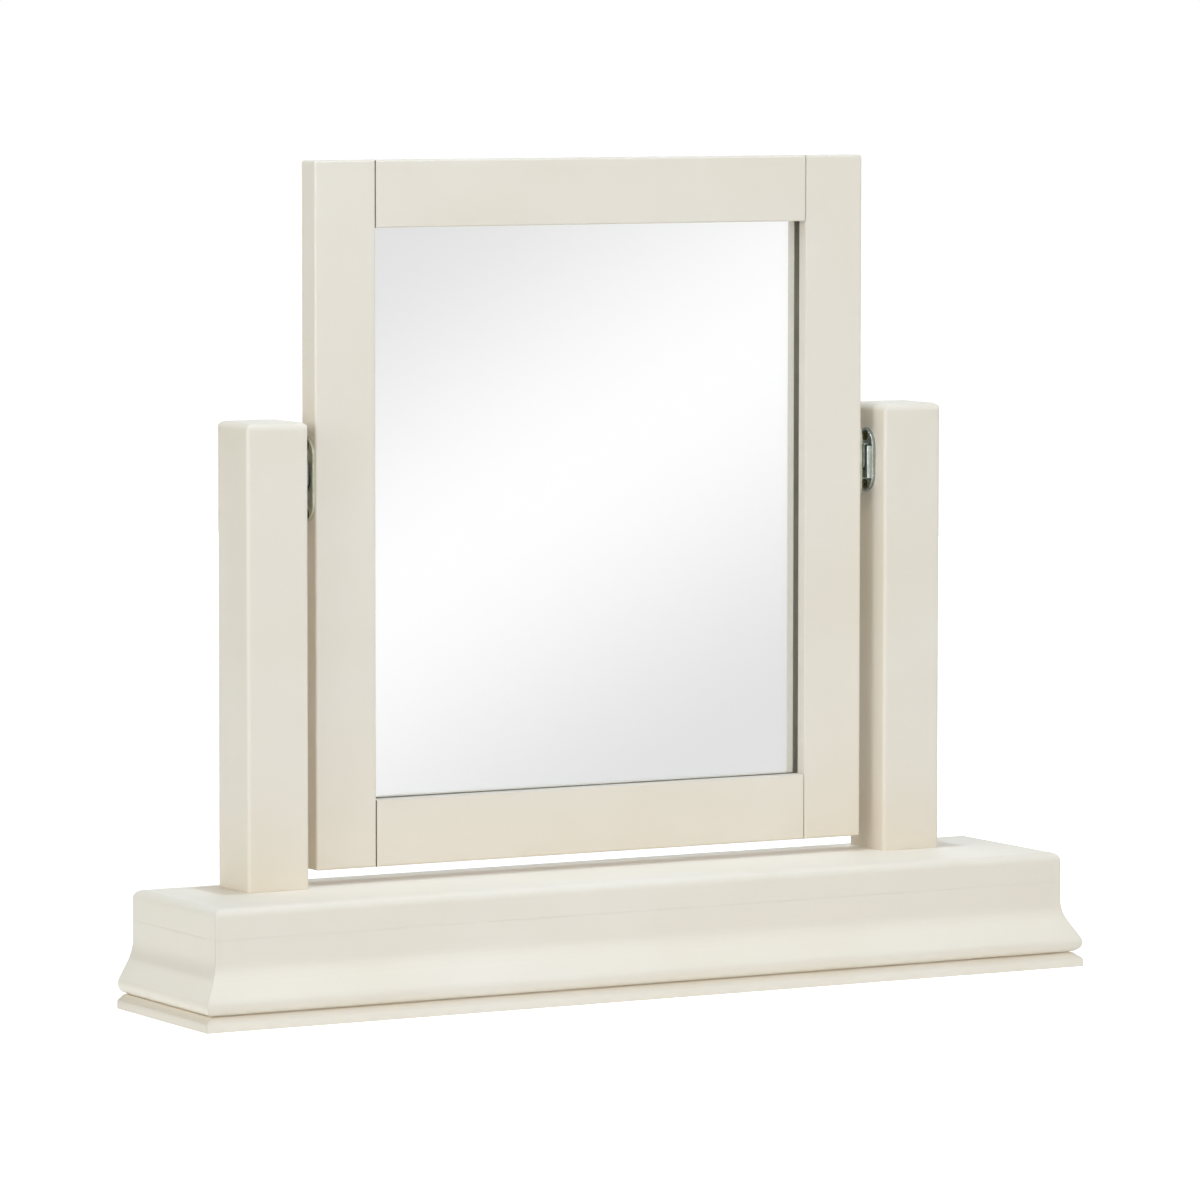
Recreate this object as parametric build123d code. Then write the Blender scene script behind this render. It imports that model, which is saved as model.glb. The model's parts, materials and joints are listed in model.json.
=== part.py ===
"""Dressing-table mirror: a framed glass hung between two square posts on a moulded base.

The frame hangs on a pair of friction pivots. Each has a hooked tongue that drops into a keeper on
the post, so the mirror tilts about its sides and lifts straight out for packing.

Millimetres. X is the width, Y the depth with the front at -Y, Z is up. The origin is on the
surface that the base stands on, in the middle of the base.
"""
from build123d import *
import os
from math import atan2, cos, radians, sin, sqrt

os.makedirs("parts", exist_ok=True)

# ---- Base -------------------------------------------------------------------------------------
BASE_OVERHANG = 61.7        # plinth, past each post
BASE_DEPTH = 120.0          # the back is flat, the front and the ends are moulded
BASE_HEIGHT = 70.0
PLINTH_THICK = 9.0
PLINTH_BEVEL = 7.0          # height of the bevel, which is the lower half of the groove
PLINTH_ARRIS = 1.0          # where the bevel meets the plinth's edge
TOP_BOARD_THICK = 18.0
TOP_ROUND = 5.0             # rounded-over top edge
NOSE_SETBACK = 0.4          # nose behind the plinth's edge
NOSE_RADIUS = 6.0           # half-round nose
NOSE_UNDERCUT = 86.0        # how far it turns under to meet the plinth, from the level
SLOPE_ANGLE = 30.0          # straight part of the moulding, from the vertical
COVE_RADIUS = 27.0          # hollow above the slope
MOULDING_FLARE = 10.0       # from the flat face out to the nose
MOULDING_THICK = 18.0       # behind the flat face
BACK_BOARD_THICK = 15.0
GLUE_BLOCK_LEG = 22.0

# ---- Posts ------------------------------------------------------------------------------------
POST_SIZE = 40.0            # square
POST_HEIGHT = 275.5
POST_SETBACK = 10.0         # from the back of the base
POST_TOP_ROUND = 4.5
POST_ARRIS = 2.0

# ---- Mirror frame -----------------------------------------------------------------------------
FRAME_WIDTH = 376.0
FRAME_HEIGHT = 419.0
FRAME_THICK = 18.0
FRAME_MEMBER = 40.0         # width of each stile and rail
FRAME_LIFT = 9.0            # from the base up to the frame
FRAME_ARRIS = 1.5           # outer edges
JOINT_EASE = 0.7            # each side of the fine groove at a joint, and round the glass
SIDE_GAP = 10.3             # from a post to the frame
LIP_DEPTH = 8.0             # wood in front of the glass
REBATE_WIDTH = 7.0
GLASS_THICK = 5.0
GLASS_CLEARANCE = 1.0       # round the glass in its rebate
BACKING_THICK = 3.0

# ---- Clips that hold the glass and its backing ------------------------------------------------
CLIP_SHEET = 1.0
CLIP_WIDTH = 12.0
CLIP_HOLD = 5.0             # over the backing board
CLIP_FOOT = 10.0            # on the back of the frame
CLIP_INSET = 75.0           # from a corner of the opening

# ---- Pivot fittings ---------------------------------------------------------------------------
PIVOT_DROP = 35.0           # below the top of the posts
KEEPER_LENGTH = 39.3
KEEPER_WIDTH = 18.1
KEEPER_SHEET = 1.2
KEEPER_HEIGHT = 2.4         # its face above the post, to which its rim is turned down
KEEPER_BEND = 0.5           # the turned edge
KEEPER_SCREW_PITCH = 29.8
BRIDGE_WIDTH = 17.0
BRIDGE_TOP = 9.0            # above the pivot
BRIDGE_BOTTOM = 11.0        # below the pivot
BRIDGE_RISE = 3.1           # above the keeper's face
BRIDGE_BEND = 1.0
TONGUE_SHEET = 1.5
TONGUE_WIDTH = 12.5
TONGUE_REACH = 10.0         # inner leaf, below the pivot
TONGUE_CORNER = 3.0         # inner leaf, to lead it into the keeper
LEAF_REACH = 6.5            # outer leaf, below the pivot
LEAF_CORNER = 5.0
STUD_DIAMETER = 5.0
STUD_HEAD = 7.6
STUD_HEAD_DEPTH = 1.3
PEENED_HEAD = 7.5
PEENED_THICK = 1.4
STUD_WASHER_DIAMETER = 11.0
STUD_WASHER_THICK = 1.0
SPRING_DIAMETER = 12.0
SPRING_SHEET = 0.7
SWIVEL_LENGTH = 50.5
SWIVEL_WIDTH = 16.0
SWIVEL_SHEET = 1.5
SWIVEL_SCREW_PITCH = 40.7
PLATE_SIDE_RADIUS = 12.0    # curve from a plate's straight side to its tip
PLATE_TIP_RADIUS = 4.0
BORE_DIAMETER = 13.0        # in the stile, over the peened end of the stud
BORE_ROOM = 0.5             # past the peened end

# ---- Screws, as (head, shank, length), and dowels, as (diameter, length) ----------------------
KEEPER_SCREW = (6.4, 3.3, 20.0)
SWIVEL_SCREW = (6.4, 3.3, 18.0)
POST_SCREW = (9.0, 5.0, 60.0)
PLINTH_SCREW = (8.0, 4.0, 32.0)
CLIP_SCREW = (5.0, 2.6, 9.0)
RECESS = (0.5, 0.12, 0.17)  # span, width and depth of the cross, as shares of the head
POST_DOWEL = (10.0, 28.0)
FRAME_DOWEL = (8.0, 36.0)
POST_SCREW_OFFSET = 10.0    # either side of a post's centre, along X
POST_DOWEL_OFFSET = 12.0    # either side of a post's centre, along Y
FRAME_DOWEL_INSET = 9.0     # first dowel, from the outer edge of a rail
FRAME_DOWEL_PITCH = 15.0
PLINTH_SCREW_INSET = 18.0   # from the plinth's edge, into the thick of the moulding
PLINTH_SCREW_SPREAD = 240.0

# ---- Clearances -------------------------------------------------------------------------------
WOOD_FIT = 0.05             # round a glued dowel or a driven screw
RUNNING_FIT = 0.05          # round the stud and between the pieces stacked on it
SLIDING_FIT = 0.2           # tongue in its keeper
SEAT_FIT = 0.1              # bend of the tongue over the keeper's edge
HEAD_SINK = 0.1             # countersunk heads lie this far below their faces
CUT = 1.0                   # how far a cutting tool runs past the face that it cuts

# ---- Places worked out from the sizes ---------------------------------------------------------
POST_INNER_X = FRAME_WIDTH / 2 + SIDE_GAP
POST_X = POST_INNER_X + POST_SIZE / 2
BASE_WIDTH = 2 * (POST_INNER_X + POST_SIZE + BASE_OVERHANG)
FRONT_Y = -BASE_DEPTH / 2
BACK_Y = BASE_DEPTH / 2
NOSE_INSET = NOSE_SETBACK + NOSE_RADIUS
NOSE_HEIGHT = PLINTH_THICK + NOSE_RADIUS * sin(radians(NOSE_UNDERCUT))
GROOVE_INSET = NOSE_INSET - NOSE_RADIUS * cos(radians(NOSE_UNDERCUT))
FLAT_INSET = NOSE_SETBACK + MOULDING_FLARE
INSIDE_INSET = FLAT_INSET + MOULDING_THICK
CAVITY_TOP = BASE_HEIGHT - TOP_BOARD_THICK
CAVITY_X = BASE_WIDTH / 2 - INSIDE_INSET
CAVITY_FRONT = FRONT_Y + INSIDE_INSET
CAVITY_BACK = BACK_Y - BACK_BOARD_THICK

POST_Y = BACK_Y - POST_SETBACK - POST_SIZE / 2
POST_TOP = BASE_HEIGHT + POST_HEIGHT

FRAME_FRONT = POST_Y - FRAME_THICK / 2
FRAME_BACK = POST_Y + FRAME_THICK / 2
FRAME_BOTTOM = BASE_HEIGHT + FRAME_LIFT
FRAME_TOP = FRAME_BOTTOM + FRAME_HEIGHT
OPEN_X = FRAME_WIDTH / 2 - FRAME_MEMBER
OPEN_BOTTOM = FRAME_BOTTOM + FRAME_MEMBER
OPEN_TOP = FRAME_TOP - FRAME_MEMBER
REBATE_X = OPEN_X + REBATE_WIDTH
REBATE_BOTTOM = OPEN_BOTTOM - REBATE_WIDTH
REBATE_TOP = OPEN_TOP + REBATE_WIDTH
GLASS_FRONT = FRAME_FRONT + LIP_DEPTH
BACKING_FRONT = GLASS_FRONT + GLASS_THICK
BACKING_BACK = BACKING_FRONT + BACKING_THICK

# Distances out from a post's inner face, through the stack of a fitting to the frame's side.
PIVOT_Z = POST_TOP - PIVOT_DROP
BRIDGE_FACE = KEEPER_HEIGHT + BRIDGE_RISE
BRIDGE_INSIDE = BRIDGE_FACE - KEEPER_SHEET
LEAF_NEAR = BRIDGE_FACE + SLIDING_FIT
LEAF_FAR = LEAF_NEAR + TONGUE_SHEET
SWIVEL_NEAR = SIDE_GAP - SWIVEL_SHEET
WASHER_FAR = SIDE_GAP + RUNNING_FIT + STUD_WASHER_THICK
STUD_END = WASHER_FAR + RUNNING_FIT + PEENED_THICK

# The right-hand fitting is drawn on the post's inner face: x to the front, y up, z to the mirror.
FITTING = Plane(origin=(POST_INNER_X, POST_Y, PIVOT_Z), x_dir=(0, -1, 0), z_dir=(-1, 0, 0)).location


# ---- Shared shapes ----------------------------------------------------------------------------
def board(x, y, z):
    """A board that fills three (low, high) spans."""
    middle = [(low + high) / 2 for low, high in (x, y, z)]
    return Pos(*middle) * Box(*[high - low for low, high in (x, y, z)])


def bar(diameter, low, high):
    """A round bar on the Z axis from one height to another."""
    return Pos(0, 0, (low + high) / 2) * Cylinder(diameter / 2, high - low)


def turned(*outline):
    """A solid turned about the Z axis from the (radius, height) points of its half section."""
    return revolve(make_face(Plane.XZ * Polyline(*outline, close=True)), Axis.Z)


def screw(size, clearance=0.0):
    """A countersunk wood screw, its head's top at z = 0 and its point down the Z axis.

    With a clearance it is the hole for such a screw."""
    head, shank, length = size
    head_r, shank_r = head / 2 + clearance, shank / 2 + clearance
    neck = -(head - shank) / 2
    return turned((0, 0), (head_r, 0), (shank_r, neck), (shank_r, shank - length),
                  (0, -length - clearance))


def screws(places, size):
    """Cross-headed screws of one size, each just below a face that z points out of."""
    span, width, depth = (size[0] * part for part in RECESS)
    cross = Box(span, width, 2 * depth) + Box(width, span, 2 * depth)
    one = Pos(0, 0, -HEAD_SINK) * (screw(size) - cross)
    return Compound(children=[place * one for place in places])


def bored(piece, places, size):
    """The piece with the holes that those screws need, open at their heads."""
    hole = Pos(0, 0, -HEAD_SINK) * (screw(size, WOOD_FIT) + bar(size[0] + 2 * WOOD_FIT, 0, CUT))
    return piece - [place * hole for place in places]


def pair(name, right):
    """Right-hand and left-hand nodes of a piece that is drawn on the right."""
    return {f"right_{name}": right, f"left_{name}": mirror(right, about=Plane.YZ)}


# ---- Base -------------------------------------------------------------------------------------
def moulding_section():
    """Section of the base moulding: x is the inset from the plinth's edge, y the height.

    A half-round nose, a straight slope, a cove, and the flat that runs up to the top board."""
    slope = radians(SLOPE_ANGLE)

    def on_nose(angle):
        return (NOSE_INSET - NOSE_RADIUS * cos(angle), NOSE_HEIGHT + NOSE_RADIUS * sin(angle))

    foot = (GROOVE_INSET, PLINTH_THICK)
    slope_start = on_nose(slope)
    run = (MOULDING_FLARE - (NOSE_RADIUS + COVE_RADIUS) * (1 - cos(slope))) / sin(slope)
    slope_end = (slope_start[0] + run * sin(slope), slope_start[1] + run * cos(slope))
    cove_top = slope_end[1] + COVE_RADIUS * sin(slope)
    cove_middle = (FLAT_INSET - COVE_RADIUS * (1 - cos(slope / 2)),
                   cove_top - COVE_RADIUS * sin(slope / 2))
    return make_face([
        ThreePointArc(foot, on_nose(0), slope_start),
        Line(slope_start, slope_end),
        ThreePointArc(slope_end, cove_middle, (FLAT_INSET, cove_top)),
        Polyline((FLAT_INSET, cove_top), (FLAT_INSET, CAVITY_TOP), (INSIDE_INSET, CAVITY_TOP),
                 (INSIDE_INSET, PLINTH_THICK), foot),
    ])


def mitred(section, half_length, outline):
    """A length of moulding, cut to a plan outline that mitres its ends."""
    stock = extrude(section, half_length, both=True)
    length = stock & extrude(make_face(Polyline(*outline, close=True)), BASE_HEIGHT)
    return bored(length, plinth_screw_places(), PLINTH_SCREW)


def front_moulding():
    half = BASE_WIDTH / 2
    plane = Plane(origin=(0, FRONT_Y, 0), x_dir=(0, 1, 0), z_dir=(1, 0, 0))
    return mitred(plane * moulding_section(), half, [
        (-half, FRONT_Y), (half, FRONT_Y), (CAVITY_X, CAVITY_FRONT), (-CAVITY_X, CAVITY_FRONT)])


def right_moulding():
    half = BASE_WIDTH / 2
    plane = Plane(origin=(half, 0, 0), x_dir=(-1, 0, 0), z_dir=(0, 1, 0))
    return mitred(plane * moulding_section(), BASE_DEPTH / 2, [
        (half, FRONT_Y), (half, BACK_Y), (CAVITY_X, BACK_Y), (CAVITY_X, CAVITY_FRONT)])


def plinth_screw_places():
    """Under the plinth: three into the front moulding, three into the back board, one each end."""
    front, back = FRONT_Y + PLINTH_SCREW_INSET, BACK_Y - BACK_BOARD_THICK / 2
    spread, end = PLINTH_SCREW_SPREAD, BASE_WIDTH / 2 - PLINTH_SCREW_INSET
    spots = [(x, y) for y in (front, back) for x in (-spread, 0, spread)] + [(-end, 0), (end, 0)]
    return [Pos(x, y, 0) * Rot(180, 0, 0) for x, y in spots]


def plinth_board():
    """The bottom board, bevelled on the front and the ends."""
    plinth = board((-BASE_WIDTH / 2, BASE_WIDTH / 2), (FRONT_Y, BACK_Y), (0, PLINTH_THICK))
    face = plinth.faces().sort_by(Axis.Z)[-1]
    moulded = [edge for edge in face.edges() if edge.center().Y < BACK_Y - CUT]
    plinth = chamfer(moulded, GROOVE_INSET, PLINTH_BEVEL, reference=face)
    foot = PLINTH_THICK - PLINTH_BEVEL
    level = plinth.edges().filter_by_position(Axis.Z, foot - CUT / 2, foot + CUT / 2)
    sharp = [edge for edge in level if edge.center().Y < BACK_Y - CUT]
    return bored(fillet(sharp, PLINTH_ARRIS), plinth_screw_places(), PLINTH_SCREW)


def top_board():
    """The top, rounded over all round, with holes for the fixings of both posts."""
    half = BASE_WIDTH / 2 - FLAT_INSET
    top = board((-half, half), (FRONT_Y + FLAT_INSET, BACK_Y), (CAVITY_TOP, BASE_HEIGHT))
    top = fillet(top.edges().group_by(Axis.Z)[-1], TOP_ROUND)
    return bored(top, post_screw_places(), POST_SCREW) - post_dowels(WOOD_FIT)


def back_board():
    back = board((-CAVITY_X, CAVITY_X), (CAVITY_BACK, BACK_Y), (PLINTH_THICK, CAVITY_TOP))
    return bored(back, plinth_screw_places(), PLINTH_SCREW)


def glue_blocks():
    """Three-cornered blocks in the four inside corners of the base."""
    blocks, leg = [], GLUE_BLOCK_LEG
    for x, inward in ((-CAVITY_X, leg), (CAVITY_X, -leg)):
        for y, along in ((CAVITY_FRONT, leg), (CAVITY_BACK, -leg)):
            plan = make_face(Polyline((x, y), (x + inward, y), (x, y + along), close=True))
            tall = CAVITY_TOP - PLINTH_THICK
            blocks.append(extrude(Pos(0, 0, PLINTH_THICK) * plan, tall, dir=(0, 0, 1)))
    return Compound(children=blocks)


# ---- Posts ------------------------------------------------------------------------------------
def post_screw_places():
    """On the underside of the top board, two below each post."""
    return [Pos(side * POST_X + offset, POST_Y, CAVITY_TOP) * Rot(180, 0, 0)
            for side in (-1, 1) for offset in (-POST_SCREW_OFFSET, POST_SCREW_OFFSET)]


def post_dowels(clearance=0.0):
    """Two dowels in the foot of each post, half in the post and half in the top board."""
    diameter, length = POST_DOWEL
    reach = length / 2 + clearance
    dowel = bar(diameter + 2 * clearance, -reach, reach)
    return [Pos(side * POST_X, POST_Y + offset, BASE_HEIGHT) * dowel
            for side in (-1, 1) for offset in (-POST_DOWEL_OFFSET, POST_DOWEL_OFFSET)]


def right_post():
    """A square post, its four long edges eased and its top rounded over from all four sides."""
    foot = Pos(POST_X, POST_Y, BASE_HEIGHT)
    post = extrude(foot * RectangleRounded(POST_SIZE, POST_SIZE, POST_ARRIS), POST_HEIGHT)
    square = foot * Pos(0, 0, POST_HEIGHT / 2) * Box(POST_SIZE, POST_SIZE, POST_HEIGHT)
    for direction in (Axis.X, Axis.Y):
        top = square.edges().group_by(Axis.Z)[-1].filter_by(direction)
        post &= fillet(top, POST_TOP_ROUND)
    post = bored(post, post_screw_places(), POST_SCREW) - post_dowels(WOOD_FIT)
    return bored(post, [FITTING * place for place in keeper_screw_places()], KEEPER_SCREW)


# ---- Mirror frame -----------------------------------------------------------------------------
def frame_dowels(clearance=0.0):
    """Two dowels through each of the four joints."""
    diameter, length = FRAME_DOWEL
    reach = length / 2 + clearance
    dowel = Rot(0, 90, 0) * bar(diameter + 2 * clearance, -reach, reach)
    insets = (FRAME_DOWEL_INSET, FRAME_DOWEL_INSET + FRAME_DOWEL_PITCH)
    heights = [FRAME_BOTTOM + inset for inset in insets] + [FRAME_TOP - inset for inset in insets]
    return [Pos(x, POST_Y, z) * dowel for x in (-OPEN_X, OPEN_X) for z in heights]


def frame_member(x, z):
    """A stile or rail over two spans: rounded on the frame's outline, eased at joint and glass.

    The rebate behind the lip, the dowel holes and the clip screws' holes are cut from it."""
    deep = (FRAME_FRONT, FRAME_BACK)
    blank = board((-FRAME_WIDTH / 2, FRAME_WIDTH / 2), deep, (FRAME_BOTTOM, FRAME_TOP))
    rounded = fillet(blank.edges(), FRAME_ARRIS)
    member = board(x, deep, z)

    def inside(edge):
        at = edge.center()
        return abs(at.X) < FRAME_WIDTH / 2 - CUT and FRAME_BOTTOM + CUT < at.Z < FRAME_TOP - CUT

    eased = [edge for edge in member.edges().filter_by(Axis.Y, reverse=True) if inside(edge)]
    rebate = board((-REBATE_X, REBATE_X), (GLASS_FRONT, FRAME_BACK + CUT),
                   (REBATE_BOTTOM, REBATE_TOP))
    member = (chamfer(eased, JOINT_EASE) & rounded) - rebate - frame_dowels(WOOD_FIT)
    return bored(member, clip_screw_places(), CLIP_SCREW)


def right_stile():
    """The right stile, also bored for the peened end of the stud and the swivel plate's screws."""
    stile = frame_member((OPEN_X, FRAME_WIDTH / 2), (FRAME_BOTTOM, FRAME_TOP))
    stile -= FITTING * bar(BORE_DIAMETER, SIDE_GAP - CUT, STUD_END + BORE_ROOM)
    return bored(stile, [FITTING * place for place in swivel_screw_places()], SWIVEL_SCREW)


def pane(front, back):
    """A sheet that fills the rebate, less the clearance round the glass."""
    gap = GLASS_CLEARANCE
    return board((gap - REBATE_X, REBATE_X - gap), (front, back),
                 (REBATE_BOTTOM + gap, REBATE_TOP - gap))


def clip_places():
    """Two clips on each side of the rebate. X points out over the frame."""
    across, low, high = OPEN_X - CLIP_INSET, OPEN_BOTTOM + CLIP_INSET, OPEN_TOP - CLIP_INSET
    sides = [Pos(side * REBATE_X, 0, z) * Rot(0, angle, 0)
             for side, angle in ((1, 0), (-1, 180)) for z in (low, high)]
    ends = [Pos(x, 0, z) * Rot(0, angle, 0)
            for z, angle in ((REBATE_TOP, -90), (REBATE_BOTTOM, 90)) for x in (-across, across)]
    return sides + ends


def clips():
    """Stepped clips: a foot on the frame's back and a leaf over the backing board."""
    section = Polyline((-CLIP_HOLD, BACKING_BACK), (0, BACKING_BACK), (0, FRAME_BACK),
                       (CLIP_FOOT, FRAME_BACK), (CLIP_FOOT, FRAME_BACK + CLIP_SHEET),
                       (-CLIP_SHEET, FRAME_BACK + CLIP_SHEET),
                       (-CLIP_SHEET, BACKING_BACK + CLIP_SHEET),
                       (-CLIP_HOLD, BACKING_BACK + CLIP_SHEET), close=True)
    clip = extrude(make_face(section), CLIP_WIDTH / 2, both=True)
    return Compound(children=[
        bored(place * clip, clip_screw_places(), CLIP_SCREW) for place in clip_places()])


def clip_screw_places():
    """In the middle of each clip's foot."""
    return [place * Pos(CLIP_FOOT / 2, FRAME_BACK + CLIP_SHEET, 0) * Rot(-90, 0, 0)
            for place in clip_places()]


# ---- Pivot fittings, drawn in the right-hand fitting's own axes -------------------------------
def pointed_plate(length, width):
    """A plate outline with straight sides, ends drawn in by arcs, and rounded tips."""
    half, reach = width / 2, length / 2
    tip_y = reach - PLATE_TIP_RADIUS
    side_x = half - PLATE_SIDE_RADIUS
    span = PLATE_SIDE_RADIUS - PLATE_TIP_RADIUS
    side_y = tip_y - sqrt(span ** 2 - side_x ** 2)
    lean = atan2(tip_y - side_y, -side_x)

    def on_side(angle, turn):
        return (turn * (side_x + PLATE_SIDE_RADIUS * cos(angle)),
                turn * (side_y + PLATE_SIDE_RADIUS * sin(angle)))

    edges = []
    for turn in (1, -1):
        x, y = on_side(lean, turn)
        edges += [
            Line((turn * half, -turn * side_y), (turn * half, turn * side_y)),
            ThreePointArc((turn * half, turn * side_y), on_side(lean / 2, turn), (x, y)),
            ThreePointArc((x, y), (0, turn * reach), (-x, y)),
            ThreePointArc((-x, y), (-on_side(lean / 2, turn)[0], on_side(lean / 2, turn)[1]),
                          (-turn * half, turn * side_y)),
        ]
    return make_face(edges)


def keeper_screw_places():
    return [Pos(0, y, KEEPER_HEIGHT) for y in (-KEEPER_SCREW_PITCH / 2, KEEPER_SCREW_PITCH / 2)]


def swivel_screw_places():
    return [Pos(0, y, SWIVEL_NEAR) * Rot(180, 0, 0)
            for y in (-SWIVEL_SCREW_PITCH / 2, SWIVEL_SCREW_PITCH / 2)]


def keeper():
    """The post's plate, pressed with a turned-down rim, and its bridge, open above and below."""
    half = BRIDGE_WIDTH / 2
    bridge = board((-half, half), (-BRIDGE_BOTTOM, BRIDGE_TOP), (0, BRIDGE_FACE))
    bridge = fillet(bridge.edges().filter_by(Axis.Y).group_by(Axis.Z)[-1], BRIDGE_BEND)
    throat = board((KEEPER_SHEET - half, half - KEEPER_SHEET),
                   (-BRIDGE_BOTTOM - CUT, BRIDGE_TOP + CUT), (KEEPER_HEIGHT, BRIDGE_INSIDE))
    outline = pointed_plate(KEEPER_LENGTH, KEEPER_WIDTH)
    plate = extrude(outline, KEEPER_HEIGHT)
    plate = fillet(plate.edges().group_by(Axis.Z)[-1], KEEPER_BEND)
    hollow = extrude(offset(outline, -KEEPER_SHEET), KEEPER_HEIGHT - KEEPER_SHEET)
    return bored(plate + bridge - throat - hollow, keeper_screw_places(), KEEPER_SCREW)


def tongue():
    """A strip folded over the bridge: its inner leaf grips the keeper, its outer leaf holds the stud.

    The section is drawn with x up and y out from the post."""
    inner_far = BRIDGE_INSIDE - SLIDING_FIT
    inner_near = KEEPER_HEIGHT + SLIDING_FIT
    bend_in = (LEAF_NEAR - inner_far) / 2
    bend_out = bend_in + TONGUE_SHEET
    bend = inner_far + bend_in
    top = BRIDGE_TOP + SEAT_FIT - sqrt(bend_in ** 2 - (KEEPER_SHEET / 2) ** 2)
    section = make_face([
        Polyline((top, LEAF_NEAR), (-LEAF_REACH, LEAF_NEAR), (-LEAF_REACH, LEAF_FAR),
                 (top, LEAF_FAR)),
        ThreePointArc((top, LEAF_FAR), (top + bend_out, bend), (top, bend - bend_out)),
        Polyline((top, bend - bend_out), (-TONGUE_REACH, inner_near),
                 (-TONGUE_REACH, inner_near + TONGUE_SHEET), (top, inner_far)),
        ThreePointArc((top, inner_far), (top + bend_in, bend), (top, LEAF_NEAR)),
    ])
    strip = extrude(Plane.YZ * section, TONGUE_WIDTH / 2, both=True)
    for reach, radius in ((TONGUE_REACH, TONGUE_CORNER), (LEAF_REACH, LEAF_CORNER)):
        low = strip.edges().filter_by(Axis.Z).filter_by_position(Axis.Y, -reach - CUT / 2,
                                                                 -reach + CUT / 2)
        strip = fillet(low, radius)
    mouth = bar(STUD_HEAD + 2 * RUNNING_FIT, LEAF_NEAR - SLIDING_FIT, LEAF_NEAR + HEAD_SINK)
    return strip - mouth - stud(RUNNING_FIT)


def stud(clearance=0.0):
    """The pivot: a countersunk head in the tongue, a plain shank, and a peened end in the stile."""
    shank, head = STUD_DIAMETER / 2 + clearance, STUD_HEAD / 2 + clearance
    start, peened = LEAF_NEAR + HEAD_SINK, WASHER_FAR + RUNNING_FIT
    return turned((0, start), (head, start), (shank, LEAF_NEAR + STUD_HEAD_DEPTH),
                  (shank, peened), (PEENED_HEAD / 2, peened), (shank, STUD_END), (0, STUD_END))


def spring_washer():
    """A dished washer between the tongue and the swivel plate, whose push holds the tilt."""
    bore, rim = STUD_DIAMETER / 2 + RUNNING_FIT, SPRING_DIAMETER / 2
    near, far = LEAF_FAR + RUNNING_FIT, SWIVEL_NEAR - RUNNING_FIT
    return turned((bore, near), (rim, far - SPRING_SHEET), (rim, far), (bore, near + SPRING_SHEET))


def stud_washer():
    """The plain washer under the peened end."""
    ring = bar(STUD_WASHER_DIAMETER, SIDE_GAP + RUNNING_FIT, WASHER_FAR)
    return ring - bar(STUD_DIAMETER + 2 * RUNNING_FIT, SIDE_GAP, WASHER_FAR + CUT)


def swivel_plate():
    """The plate on the side of the frame, which turns on the stud."""
    outline = Pos(0, 0, SWIVEL_NEAR) * pointed_plate(SWIVEL_LENGTH, SWIVEL_WIDTH)
    plate = extrude(outline, SWIVEL_SHEET)
    plate -= bar(STUD_DIAMETER + 2 * RUNNING_FIT, SWIVEL_NEAR - CUT, SIDE_GAP + CUT)
    return bored(plate, swivel_screw_places(), SWIVEL_SCREW)


# ---- Nodes ------------------------------------------------------------------------------------
rail = (-OPEN_X, OPEN_X)
nodes = {
    "plinth_board": plinth_board(),
    "plinth_screws": screws(plinth_screw_places(), PLINTH_SCREW),
    "front_moulding": front_moulding(),
    **pair("moulding", right_moulding()),
    "back_board": back_board(),
    "glue_blocks": glue_blocks(),
    "top_board": top_board(),
    **pair("post", right_post()),
    "post_dowels": Compound(children=post_dowels()),
    "post_screws": screws(post_screw_places(), POST_SCREW),
    **pair("keeper", FITTING * keeper()),
    **pair("keeper_screws", FITTING * screws(keeper_screw_places(), KEEPER_SCREW)),
    **pair("tongue", FITTING * tongue()),
    **pair("pivot_stud", FITTING * stud()),
    **pair("spring_washer", FITTING * spring_washer()),
    **pair("stud_washer", FITTING * stud_washer()),
    **pair("swivel_plate", FITTING * swivel_plate()),
    **pair("swivel_screws", FITTING * screws(swivel_screw_places(), SWIVEL_SCREW)),
    **pair("stile", right_stile()),
    "top_rail": frame_member(rail, (OPEN_TOP, FRAME_TOP)),
    "bottom_rail": frame_member(rail, (FRAME_BOTTOM, OPEN_BOTTOM)),
    "frame_dowels": Compound(children=frame_dowels()),
    "mirror_glass": pane(GLASS_FRONT, BACKING_FRONT),
    "backing_board": pane(BACKING_FRONT, BACKING_BACK),
    "backing_clips": clips(),
    "clip_screws": screws(clip_screw_places(), CLIP_SCREW),
}
for name, shape in nodes.items():
    export_step(shape, f"parts/{name}.step")
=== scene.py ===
"""Dressing-table mirror, dressed for the render: sprayed woodwork, silvered glass and plated fittings.

The sections follow the mirror as it is put together: base, posts, frame, glass, back and pivots. The
camera and the room come first. Metres, in the model's frame: X is the width, Y runs to the back, Z is up.
"""
import bmesh
import bpy
import json
import numpy as np
from mathutils import Matrix, Vector


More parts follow.
